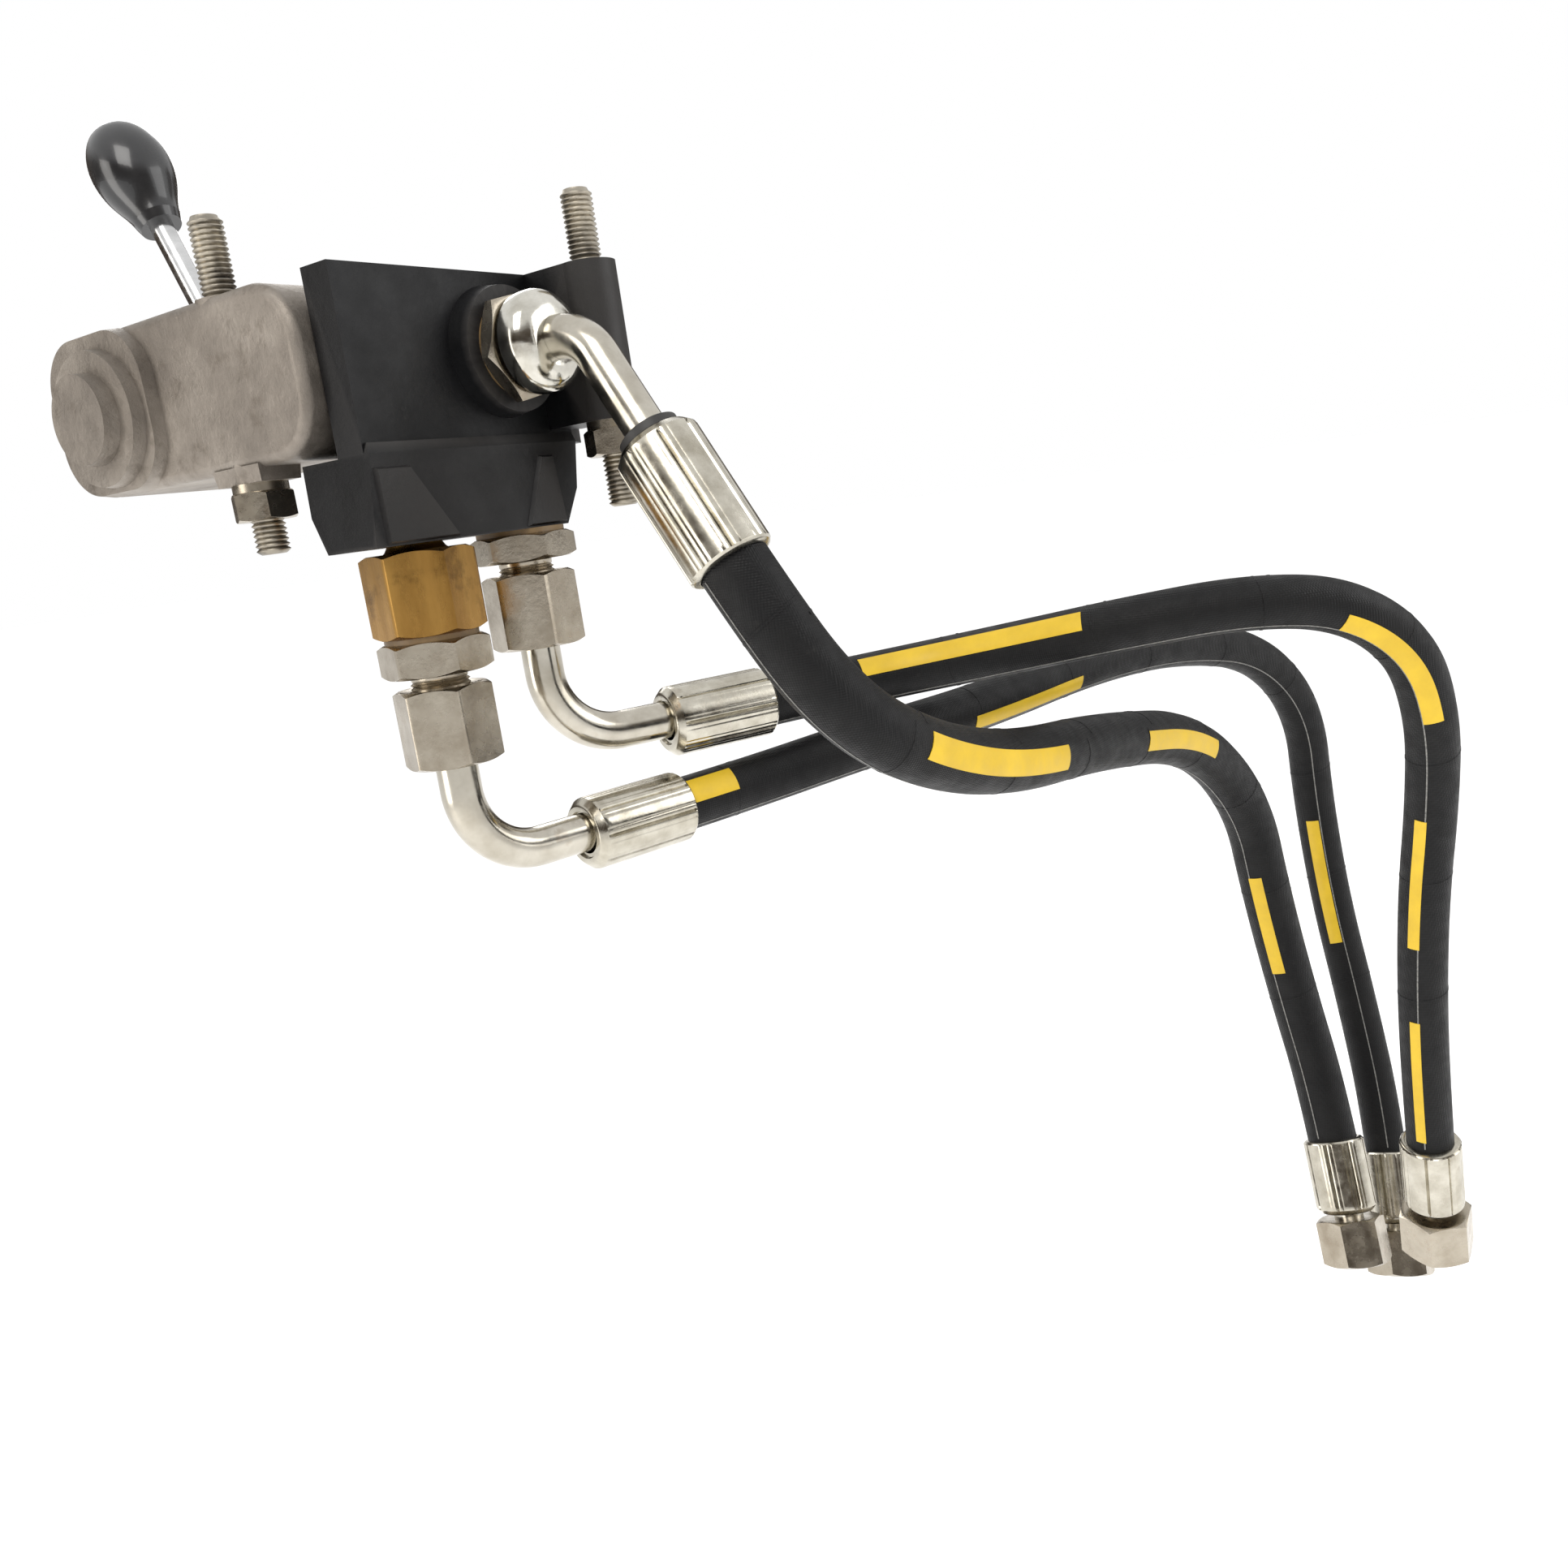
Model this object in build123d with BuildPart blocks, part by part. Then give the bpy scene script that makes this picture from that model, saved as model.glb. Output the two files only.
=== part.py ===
from build123d import *
import os, math

os.makedirs("parts", exist_ok=True)

# ---------------------------------------------------------------- dimensions
# Frame: origin at the middle of the two-stud pattern on the top mounting face,
# +Z up, +X along the row of bottom ports, millimetres.
body_z0, ledge_z, body_top = -78.0, -52.0, 0.0     # underside, ledge, mounting face
port_y, port_a_x, port_b_x = -5.0, -22.5, 22.5     # bottom port centres
port_thread_r, port_depth = 8.3, 16.0              # 3/8 in parallel port
stud_a, stud_b = (-42.5, 34.0), (42.5, -34.0)      # mounting studs
stud_r, shank_r = 5.0, 4.5                         # M10, and its waisted shank
side_x, side_z, side_face_y = 16.0, -24.0, -22.0   # side port boss face
spool_y, spool_z, spool_r = 14.0, -27.0, 9.0       # metering spool bore along X
comp_y, comp_z, comp_r = 32.0, -27.0, 6.0          # compensator bore along X
shaft_y, shaft_z, shaft_r = 86.0, -27.0, 5.0       # control shaft axis along X
crank_l = 13.0                                     # both cranks, parallelogram
hs_x0, hs_x1 = -50.0, -10.0                        # lever housing and its back plate
hs_y0, hs_y1, hs_z0, hs_z1 = -3.5, 114.0, -50.0, -1.0
wall = 3.5
screw_yz = ((11.0, -13.0), (11.0, -41.0), (37.0, -13.0), (37.0, -41.0))  # housing screws
fit = 0.05                                         # radial running clearance
hex_af, nut_af = 30.0, 27.0
tube_r, tube_bend = 6.5, 24.0
ferrule_r, hose_r = 12.25, 9.5
side_ferrule_r, side_hose_r = 13.5, 11.0


def xplane(x, y=0.0, z=0.0):
    """Sketch plane at X = x, looking along +X: local x is Y, local y is Z."""
    return Plane(origin=(x, y, z), x_dir=(0, 1, 0), z_dir=(1, 0, 0))


def hexpts(af):
    return RegularPolygon(radius=af / 2, side_count=6, major_radius=False)


def write(p, name):
    p.part.label = name
    export_step(p.part, "parts/" + name + ".step")


# ---------------------------------------------------------------- valve body
with BuildPart() as valve_body:
    # lower slab, narrower in Y at the bottom, its left end leaning out
    with BuildSketch(Plane.XY.offset(ledge_z)):
        with BuildLine():
            Polyline((-43.5, -17), (43, -17), (49, -9), (49, 12), (43, 17), (-38, 17), (-43.5, 12), close=True)
        make_face()
    with BuildSketch(Plane.XY.offset(-67)):
        with BuildLine():
            Polyline((-45.5, -17), (40, -17), (46, -9), (46, 10), (40, 15), (-40, 15), (-45.5, 10), close=True)
        make_face()
    loft()
    with BuildSketch(Plane.XY.offset(-67)):
        with BuildLine():
            Polyline((-45.5, -17), (40, -17), (46, -9), (46, 10), (40, 15), (-40, 15), (-45.5, 10), close=True)
        make_face()
    with BuildSketch(Plane.XY.offset(body_z0)):
        with BuildLine():
            Polyline((-47, -17), (33, -17), (38, -12), (38, 4), (33, 8), (-42, 8), (-47, 4), close=True)
        make_face()
    loft()
    # upper body
    with BuildSketch(Plane.XY.offset(ledge_z)):
        with BuildLine():
            Polyline((-43.5, -15), (44, -15), (56, -8), (56, 43), (hs_x1, 43), (hs_x1, -4), (-43.5, -4), close=True)
        make_face()
    extrude(amount=body_top - ledge_z)
    # cast lug for the second stud
    with BuildSketch(Plane.XY.offset(ledge_z + 4)):
        with Locations(stud_b):
            Circle(9)
        with Locations((stud_b[0] + 0.1, -24)):
            Rectangle(17.6, 22)
    extrude(amount=body_top - ledge_z - 4)
    # shoulder band over the ledge
    with BuildSketch(Plane.XY.offset(ledge_z)):
        with BuildLine():
            Polyline((-43.5, -17), (43, -17), (49, -9), (-43.5, -9), close=True)
        make_face()
    extrude(amount=3.0, taper=18)
    # side port boss
    with BuildSketch(Plane.XZ.offset(14)):
        with Locations((side_x, side_z)):
            Circle(20)
    extrude(amount=-side_face_y - 14, taper=8)
    # raised facets around the bottom ports
    with BuildSketch(Plane.XZ.offset(17)):
        with BuildLine():
            Polyline((-43, -77.5), (-43, -56), (-30, -56), (-15, -77.5), close=True)
        make_face()
        with BuildLine():
            Polyline((14, -77.5), (24, -56), (30, -56), (32, -77.5), close=True)
        make_face()
    extrude(amount=1.4, taper=25)
    # ports
    with Locations(Location((port_a_x, port_y, body_z0), (180, 0, 0)), Location((port_b_x, port_y, body_z0), (180, 0, 0))):
        Hole(port_thread_r, depth=port_depth)
    # drilled passages from the two bottom ports and the side port to the bore
    with BuildSketch(xplane(port_a_x, 0, -62)):
        Circle(3.5)
    extrude(amount=24, mode=Mode.SUBTRACT)
    with BuildSketch(Plane.XY.offset(-63)):
        with Locations((0, 4)):
            Circle(3.5)
        with Locations((port_b_x + 4.5, 5)):
            Circle(3.5)
    extrude(amount=38, mode=Mode.SUBTRACT)
    with BuildSketch(Plane.XZ.offset(-side_face_y)):
        with Locations((side_x, side_z)):
            Circle(port_thread_r)
    extrude(amount=-port_depth, mode=Mode.SUBTRACT)
    with BuildSketch(Plane.XZ.offset(-side_face_y)):
        with Locations((side_x, side_z)):
            Circle(4)
    extrude(amount=-34, mode=Mode.SUBTRACT)
    # metering bore, through from the housing side, blind at the far end
    with BuildSketch(xplane(hs_x1, spool_y, spool_z)):
        Circle(spool_r)
    extrude(amount=52, mode=Mode.SUBTRACT)
    # compensator bore, open at the far end
    with BuildSketch(xplane(56, comp_y, comp_z)):
        Circle(comp_r)
    extrude(amount=-56, mode=Mode.SUBTRACT)
    with BuildSketch(xplane(56, comp_y, comp_z)):
        Circle(8.5)
    extrude(amount=-12, mode=Mode.SUBTRACT)
    # stud hole through the lug
    with Locations(Location((stud_b[0], stud_b[1], 0))):
        Hole(stud_r + 0.3, depth=60)
    # threaded holes for the housing screws
    with BuildSketch(xplane(hs_x1)):
        with Locations(*screw_yz):
            Circle(2.5)
    extrude(amount=8.5, mode=Mode.SUBTRACT)
write(valve_body, "valve_body")

# ---------------------------------------------------------------- metering spool
with BuildPart() as metering_spool:
    with BuildSketch(xplane(-9, spool_y, spool_z)):
        Circle(spool_r - fit)
    extrude(amount=50)
    with BuildSketch(xplane(-2, spool_y, spool_z)):
        Circle(spool_r + 1)
        Circle(6, mode=Mode.SUBTRACT)
    extrude(amount=10, mode=Mode.SUBTRACT)
    with BuildSketch(xplane(24, spool_y, spool_z)):
        Circle(spool_r + 1)
        Circle(6, mode=Mode.SUBTRACT)
    extrude(amount=12, mode=Mode.SUBTRACT)
    # metering notch
    with BuildSketch(Plane.XY.offset(spool_z + 5)):
        with Locations((12, spool_y)):
            Rectangle(9, 4)
    extrude(amount=6, mode=Mode.SUBTRACT)
    # drive end, reaching into the housing
    with BuildSketch(xplane(-23, spool_y, spool_z)):
        Circle(4.5)
    extrude(amount=14)
write(metering_spool, "metering_spool")

with BuildPart() as spool_crank:
    with BuildSketch(xplane(-22, spool_y, spool_z)):
        with BuildLine():
            Polyline((-6, 0), (-4.5, -crank_l), (4.5, -crank_l), (6, 0), close=True)
        make_face()
        Circle(8)
        with Locations((0, -crank_l)):
            Circle(5)
        Circle(4.5, mode=Mode.SUBTRACT)
        with Locations((0, -crank_l)):
            Circle(2.5, mode=Mode.SUBTRACT)
    extrude(amount=5)
write(spool_crank, "spool_crank")

with BuildPart() as spool_crank_pin:
    with BuildSketch(xplane(-27, spool_y, spool_z - crank_l)):
        Circle(2.5)
    extrude(amount=10)
write(spool_crank_pin, "spool_crank_pin")

with BuildPart() as drive_crank:
    with BuildSketch(xplane(-22, shaft_y, shaft_z)):
        with BuildLine():
            Polyline((-6, 0), (-4.5, -crank_l), (4.5, -crank_l), (6, 0), close=True)
        make_face()
        Circle(8)
        with Locations((0, -crank_l)):
            Circle(5)
        Circle(shaft_r, mode=Mode.SUBTRACT)
        with Locations((0, -crank_l)):
            Circle(2.5, mode=Mode.SUBTRACT)
    extrude(amount=5)
write(drive_crank, "drive_crank")

with BuildPart() as drive_crank_pin:
    with BuildSketch(xplane(-27, shaft_y, shaft_z - crank_l)):
        Circle(2.5)
    extrude(amount=10)
write(drive_crank_pin, "drive_crank_pin")

with BuildPart() as drag_link:
    with BuildSketch(xplane(-26, 0, shaft_z - crank_l)):
        with Locations(((shaft_y + spool_y) / 2, 0)):
            SlotCenterToCenter(shaft_y - spool_y, 10)
        with Locations((shaft_y, 0)):
            Circle(2.5 + fit, mode=Mode.SUBTRACT)
        with Locations((spool_y, 0)):
            Circle(2.5 + 0.35, mode=Mode.SUBTRACT)
    extrude(amount=3)
write(drag_link, "drag_link")

# ---------------------------------------------------------------- compensator
with BuildPart() as compensator_spool:
    with BuildSketch(xplane(1, comp_y, comp_z)):
        Circle(comp_r - fit)
    extrude(amount=24)
    with BuildSketch(xplane(8, comp_y, comp_z)):
        Circle(comp_r + 1)
        Circle(3.5, mode=Mode.SUBTRACT)
    extrude(amount=10, mode=Mode.SUBTRACT)
write(compensator_spool, "compensator_spool")

with BuildPart() as compensator_spring:
    with BuildLine():
        Helix(pitch=3.166666, height=19, radius=4.2, center=(0, 0, 0), direction=(0, 0, 1))
    with BuildSketch(Plane(origin=(4.2, 0, 0), z_dir=(0, 1, 0))):
        Circle(0.7)
    sweep(is_frenet=True)
compensator_spring.part.label = "compensator_spring"
spring_placed = Location((25.8, comp_y, comp_z), (0, 90, 0)) * compensator_spring.part
spring_placed.label = "compensator_spring"
export_step(spring_placed, "parts/compensator_spring.step")

with BuildPart() as compensator_plug:
    with BuildSketch(xplane(46, comp_y, comp_z)):
        Circle(8.5)
    extrude(amount=10)
    with BuildSketch(xplane(56, comp_y, comp_z)):
        hexpts(22)
    extrude(amount=9)
    with BuildSketch(xplane(60, comp_y, comp_z)):
        Circle(15)
        Circle(12.3, mode=Mode.SUBTRACT)
    extrude(amount=6, mode=Mode.SUBTRACT, taper=-20)
write(compensator_plug, "compensator_plug")

# ---------------------------------------------------------------- lever housing
with BuildPart() as lever_housing:
    with BuildSketch(xplane(hs_x0)):
        with Locations(((hs_y0 + hs_y1) / 2, (hs_z0 + hs_z1) / 2)):
            RectangleRounded(hs_y1 - hs_y0, hs_z1 - hs_z0, 17)
    extrude(amount=hs_x1 - 3 - hs_x0)
    fillet(lever_housing.faces().sort_by(Axis.X)[0].outer_wire().edges(), 3.0)
    with BuildSketch(xplane(hs_x0 + wall)):
        with Locations(((hs_y0 + hs_y1) / 2, (hs_z0 + hs_z1) / 2)):
            RectangleRounded(hs_y1 - hs_y0 - 2 * wall, hs_z1 - hs_z0 - 2 * wall, 13.5)
    extrude(amount=40, mode=Mode.SUBTRACT)
    # raised pad that carries the bearing boss
    with BuildSketch(xplane(hs_x0 + 1)):
        with Locations((88.5, (hs_z0 + hs_z1) / 2)):
            RectangleRounded(51, hs_z1 - hs_z0, 17)
    extrude(amount=-5, taper=8)
    # round boss in two steps
    with BuildSketch(xplane(hs_x0 - 4, shaft_y + 1, shaft_z)):
        Circle(21)
    extrude(amount=-4, taper=8)
    with BuildSketch(xplane(hs_x0 - 8, shaft_y + 1, shaft_z)):
        Circle(14)
    extrude(amount=-5, taper=5)
    # solid column that carries the first stud, with its pad under the housing
    with BuildSketch(Plane.XY.offset(hs_z0 - 4)):
        with Locations(stud_a):
            Circle(7.3)
    extrude(amount=hs_z1 - hs_z0 + 4)
    with BuildSketch(Plane.XY.offset(hs_z0 + 1)):
        with Locations((stud_a[0], stud_a[1])):
            Rectangle(15, 22)
    extrude(amount=-5, taper=6)
    with Locations(Location((stud_a[0], stud_a[1], 0))):
        Hole(stud_r + 0.3, depth=62)
    # blind bearing bore for the control shaft
    with BuildSketch(xplane(hs_x0 + wall, shaft_y, shaft_z)):
        Circle(shaft_r + 2.5)
    extrude(amount=-8, mode=Mode.SUBTRACT)
write(lever_housing, "lever_housing")

with BuildPart() as back_plate:
    with BuildSketch(xplane(hs_x1 - 3)):
        with Locations(((hs_y0 + hs_y1) / 2, (hs_z0 + hs_z1) / 2)):
            RectangleRounded(hs_y1 - hs_y0, hs_z1 - hs_z0, 17)
        with Locations((spool_y, spool_z)):
            Circle(4.5 + 0.3, mode=Mode.SUBTRACT)
        with Locations((shaft_y, shaft_z)):
            Circle(shaft_r + 2.5, mode=Mode.SUBTRACT)
        with Locations(*screw_yz):
            Circle(2.5, mode=Mode.SUBTRACT)
    extrude(amount=3)
write(back_plate, "back_plate")

with BuildPart() as plate_screws:
    with BuildSketch(xplane(hs_x1)):
        with Locations(*screw_yz):
            Circle(2.5)
    extrude(amount=8)
    with BuildSketch(xplane(hs_x1)):
        with Locations(*screw_yz):
            Circle(2.5)
    extrude(amount=-3)
    with BuildSketch(xplane(hs_x1 - 3)):
        with Locations(*screw_yz):
            Circle(4.2)
    extrude(amount=-2.5)
write(plate_screws, "plate_screws")

with BuildPart() as outer_bush:
    with BuildSketch(xplane(hs_x0 + wall - 8, shaft_y, shaft_z)):
        Circle(shaft_r + 2.5)
        Circle(shaft_r + fit, mode=Mode.SUBTRACT)
    extrude(amount=8)
write(outer_bush, "outer_bush")

with BuildPart() as inner_bush:
    with BuildSketch(xplane(hs_x1 - 3, shaft_y, shaft_z)):
        Circle(shaft_r + 2.5)
        Circle(shaft_r + fit, mode=Mode.SUBTRACT)
    extrude(amount=5)
write(inner_bush, "inner_bush")

# ---------------------------------------------------------------- control lever
with BuildPart() as control_shaft:
    with BuildSketch(xplane(-53, shaft_y, shaft_z)):
        Circle(shaft_r)
    extrude(amount=61)
    chamfer(control_shaft.faces().sort_by(Axis.X)[-1].edges(), 0.8)
write(control_shaft, "control_shaft")

lever_dir = (0.0, math.sin(math.radians(25)), math.cos(math.radians(25)))
with BuildPart() as lever_hub:
    with BuildSketch(xplane(-4.5, shaft_y, shaft_z)):
        Circle(11)
        Circle(shaft_r, mode=Mode.SUBTRACT)
    extrude(amount=13)
    with BuildSketch(Plane(origin=(2.0, shaft_y + 9 * lever_dir[1], shaft_z + 9 * lever_dir[2]), z_dir=lever_dir)):
        Circle(6.4)
        Circle(4, mode=Mode.SUBTRACT)
    extrude(amount=9)
write(lever_hub, "lever_hub")

with BuildPart() as lever_arm:
    with BuildSketch(Plane(origin=(2.0, shaft_y + 11.5 * lever_dir[1], shaft_z + 11.5 * lever_dir[2]), z_dir=lever_dir)):
        Circle(4)
    extrude(amount=76)
write(lever_arm, "lever_arm")

with BuildPart() as lever_knob:
    with BuildSketch(Plane(origin=(2.0, shaft_y + 75 * lever_dir[1], shaft_z + 75 * lever_dir[2]),
                           x_dir=(1, 0, 0), z_dir=(0, -lever_dir[2], lever_dir[1]))):
        with BuildLine():
            Polyline((0, 0), (7, 0), (8, 3))
            Spline((8, 3), (12, 14), (13.5, 26), (10, 35), (0, 39), tangents=((0.2, 1), (-1, 0)))
            Line((0, 39), (0, 0))
        make_face()
    revolve(axis=Axis((2.0, shaft_y, shaft_z), lever_dir))
    with BuildSketch(Plane(origin=(2.0, shaft_y + 75 * lever_dir[1], shaft_z + 75 * lever_dir[2]), z_dir=lever_dir)):
        Circle(4)
    extrude(amount=12.5, mode=Mode.SUBTRACT)
write(lever_knob, "lever_knob")

# ---------------------------------------------------------------- mounting fasteners
with BuildPart() as mounting_studs:
    # exposed thread above the mounting face, at its major radius
    with BuildSketch(Plane.XY.offset(22)):
        with Locations(stud_a, stud_b):
            Circle(stud_r)
    extrude(amount=-22)
    # waisted shank and lower thread, at the pitch radius
    with BuildSketch(Plane.XY):
        with Locations(stud_a, stud_b):
            Circle(shank_r)
    extrude(amount=-75)
    chamfer(mounting_studs.faces().sort_by(Axis.Z)[:2].edges(), 0.8)
    chamfer(mounting_studs.faces().sort_by(Axis.Z)[-2:].edges(), 0.8)
write(mounting_studs, "mounting_studs")

with BuildPart() as spring_washers:
    with BuildSketch(Plane.XY.offset(-54)):
        with Locations(stud_a):
            Circle(8.2)
            Circle(stud_r + 0.1, mode=Mode.SUBTRACT)
    extrude(amount=-2.5)
    with BuildSketch(Plane.XY.offset(-48)):
        with Locations(stud_b):
            Circle(8.2)
            Circle(stud_r + 0.1, mode=Mode.SUBTRACT)
    extrude(amount=-2.5)
    for sx, sy in (stud_a, stud_b):
        with BuildSketch(Plane.XY.offset(-45)):
            with Locations((sx + 6.5, sy)):
                Rectangle(5, 0.8, rotation=20)
        extrude(amount=-14, mode=Mode.SUBTRACT)
write(spring_washers, "spring_washers")

with BuildPart() as stud_nuts:
    for (sx, sy), z in ((stud_a, -56.5), (stud_b, -50.5)):
        with BuildSketch(Plane.XY.offset(z)):
            with Locations((sx, sy)):
                RegularPolygon(radius=8.5, side_count=6, major_radius=False)
                Circle(shank_r, mode=Mode.SUBTRACT)
        extrude(amount=-8.4)
write(stud_nuts, "stud_nuts")

# ---------------------------------------------------------------- front stack: restrictor
za = body_z0
with BuildPart() as restrictor_body:
    with BuildSketch(Plane.XY.offset(za - 2)):
        with Locations((port_a_x, port_y)):
            RegularPolygon(radius=15, side_count=6, major_radius=False, rotation=14)
    extrude(amount=-25)
    with BuildSketch(Plane.XY.offset(za - 2)):
        with Locations((port_a_x, port_y)):
            Circle(port_thread_r)
    extrude(amount=14)
    with Locations(Location((port_a_x, port_y, za + 12))):
        Hole(3.5, depth=50)
    with Locations(Location((port_a_x, port_y, za - 27), (180, 0, 0))):
        Hole(8.3, depth=22)
write(restrictor_body, "restrictor_body")

with BuildPart() as restrictor_poppet:
    with BuildSketch(Plane.XY.offset(za - 5.1)):
        with Locations((port_a_x, port_y)):
            Circle(8.3 - 0.07)
            Circle(1.0, mode=Mode.SUBTRACT)
    extrude(amount=-3)
write(restrictor_poppet, "restrictor_poppet")


with BuildPart() as restrictor_spring:
    with BuildLine():
        Helix(pitch=2.2, height=6.6, radius=6.2)
    with BuildSketch(Plane(origin=(6.2, 0, 0), z_dir=(0, 1, 0))):
        Circle(0.6)
    sweep(is_frenet=True)
rspring = Location((port_a_x, port_y, za - 15.35)) * restrictor_spring.part
rspring.label = "restrictor_spring"
export_step(rspring, "parts/restrictor_spring.step")

# ---------------------------------------------------------------- adapters, seals, swivel nuts
stack_a = [za - 27 - 1.6, 10.4, 4.0, 24.0]     # hex top, hex height, neck, nut height
stack_b = [za - 1.6, 8.4, 4.0, 24.0]
for tag, px, st, thread in (("front", port_a_x, stack_a, 9.0), ("rear", port_b_x, stack_b, 12.0)):
    z_hex, h_hex, h_neck, h_nut = st
    z_neck = z_hex - h_hex
    z_nut = z_neck - h_neck
    with BuildPart() as seal:
        with BuildSketch(Plane.XY.offset(z_hex)):
            with Locations((px, port_y)):
                Circle(14.2)
                Circle(port_thread_r, mode=Mode.SUBTRACT)
        extrude(amount=1.6)
    write(seal, tag + "_bonded_seal")
    with BuildPart() as adapter:
        with BuildSketch(Plane.XY.offset(z_hex)):
            with Locations((px, port_y)):
                RegularPolygon(radius=hex_af / 2, side_count=6, major_radius=False, rotation=8)
        extrude(amount=-h_hex)
        with BuildSketch(Plane.XY.offset(z_hex)):
            with Locations((px, port_y)):
                Circle(port_thread_r)
        extrude(amount=thread)
        with BuildSketch(Plane.XY.offset(z_neck)):
            with Locations((px, port_y)):
                Circle(9.0)
        extrude(amount=-h_neck - 12)
        with Locations(Location((px, port_y, z_hex + thread))):
            Hole(4.5, depth=60)
    write(adapter, tag + "_adapter")
    with BuildPart() as nut:
        with BuildSketch(Plane.XY.offset(z_nut)):
            with Locations((px, port_y)):
                RegularPolygon(radius=nut_af / 2, side_count=6, major_radius=False, rotation=4)
        extrude(amount=-h_nut)
        with BuildSketch(Plane.XY.offset(z_nut)):
            with Locations((px, port_y)):
                Circle(9.0 + fit)
        extrude(amount=-17, mode=Mode.SUBTRACT)
        with BuildSketch(Plane.XY.offset(z_nut - 17)):
            with Locations((px, port_y)):
                Circle(tube_r + fit)
        extrude(amount=-h_nut, mode=Mode.SUBTRACT)
    write(nut, tag + "_swivel_nut")

with BuildPart() as side_bonded_seal:
    with BuildSketch(Plane.XZ.offset(-side_face_y)):
        with Locations((side_x, side_z)):
            Circle(14.2)
            Circle(port_thread_r, mode=Mode.SUBTRACT)
    extrude(amount=1.5)
write(side_bonded_seal, "side_bonded_seal")

y_hex = side_face_y - 1.5
with BuildPart() as side_adapter:
    with BuildSketch(Plane.XZ.offset(-y_hex)):
        with Locations((side_x, side_z)):
            RegularPolygon(radius=hex_af / 2, side_count=6, major_radius=False, rotation=12)
    extrude(amount=5)
    with BuildSketch(Plane.XZ.offset(-y_hex)):
        with Locations((side_x, side_z)):
            Circle(port_thread_r)
    extrude(amount=-12)
    with BuildSketch(Plane.XZ.offset(-y_hex + 5)):
        with Locations((side_x, side_z)):
            Circle(9.0)
    extrude(amount=6)
    with BuildSketch(Plane.XZ.offset(-y_hex + 11)):
        with Locations((side_x, side_z)):
            Circle(4.5)
    extrude(amount=-30, mode=Mode.SUBTRACT)
write(side_adapter, "side_adapter")

with BuildPart() as side_swivel_nut:
    with BuildSketch(Plane.XZ.offset(-y_hex + 6)):
        with Locations((side_x, side_z)):
            Circle(15.2)
    extrude(amount=11.3)
    fillet(side_swivel_nut.faces().sort_by(Axis.Y)[0].edges(), 5)
    with BuildSketch(Plane.XZ.offset(-y_hex + 6)):
        with Locations((side_x, side_z)):
            Circle(9.0 + fit)
    extrude(amount=8.5, mode=Mode.SUBTRACT)
    with BuildSketch(Plane.XZ.offset(-y_hex + 14)):
        with Locations((side_x, side_z)):
            Circle(tube_r + fit)
    extrude(amount=6, mode=Mode.SUBTRACT)
write(side_swivel_nut, "side_swivel_nut")

# ---------------------------------------------------------------- elbows
drop = 33.0                                        # nut end to elbow axis
ang_a, ang_b, reach = -15.4, -26.5, 40.0


def unit(a):
    return Vector(math.cos(math.radians(a)), math.sin(math.radians(a)), 0)


end_a = stack_a[0] - stack_a[1] - stack_a[2] - stack_a[3]
end_b = stack_b[0] - stack_b[1] - stack_b[2] - stack_b[3]
centre_a = Vector(port_a_x, port_y, end_a - drop)
centre_b = Vector(port_b_x, port_y, end_b - drop)
side_corner = Vector(side_x, -50.3, side_z)
side_dir = Vector(0, -0.5, -0.8660254)
side_in = Vector(side_x, y_hex - 14.4, side_z)
elbows = (
    ("front", Vector(port_a_x, port_y, end_a + 6.9), centre_a, centre_a + unit(ang_a) * (reach + 8), tube_bend, (0, 0, -1)),
    ("rear", Vector(port_b_x, port_y, end_b + 6.9), centre_b, centre_b + unit(ang_b) * (reach + 8), tube_bend, (0, 0, -1)),
    ("side", side_in, side_corner, side_corner + side_dir * (reach + 8), 16.0, (0, -1, 0)),
)
for tag, p0, p1, p2, rad, d0 in elbows:
    with BuildPart() as elbow:
        with BuildLine():
            FilletPolyline(p0, p1, p2, radius=rad)
        with BuildSketch(Plane(origin=p0, z_dir=d0)):
            Circle(tube_r)
            Circle(4.6, mode=Mode.SUBTRACT)
        sweep()
    write(elbow, tag + "_elbow_tube")

# ---------------------------------------------------------------- crimp ferrules
ferrules = (
    ("front", centre_a + unit(ang_a) * reach, unit(ang_a), ferrule_r, hose_r, 40.0),
    ("rear", centre_b + unit(ang_b) * reach, unit(ang_b), ferrule_r, hose_r, 40.0),
    ("side", side_corner + side_dir * reach, side_dir, side_ferrule_r, side_hose_r, 44.0),
)
for tag, p, d, ro, rh, ln in ferrules:
    with BuildPart() as ferrule:
        with BuildSketch(Plane(origin=p, z_dir=d)):
            Circle(ro)
            Circle(tube_r, mode=Mode.SUBTRACT)
        extrude(amount=ln)
        chamfer(ferrule.faces().sort_by(Axis(p, d))[0].outer_wire().edges(), 2.0)
        with BuildSketch(Plane(origin=p + d * (ln - 24), z_dir=d)):
            Circle(rh)
        extrude(amount=24, mode=Mode.SUBTRACT)
    write(ferrule, tag + "_ferrule")

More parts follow.
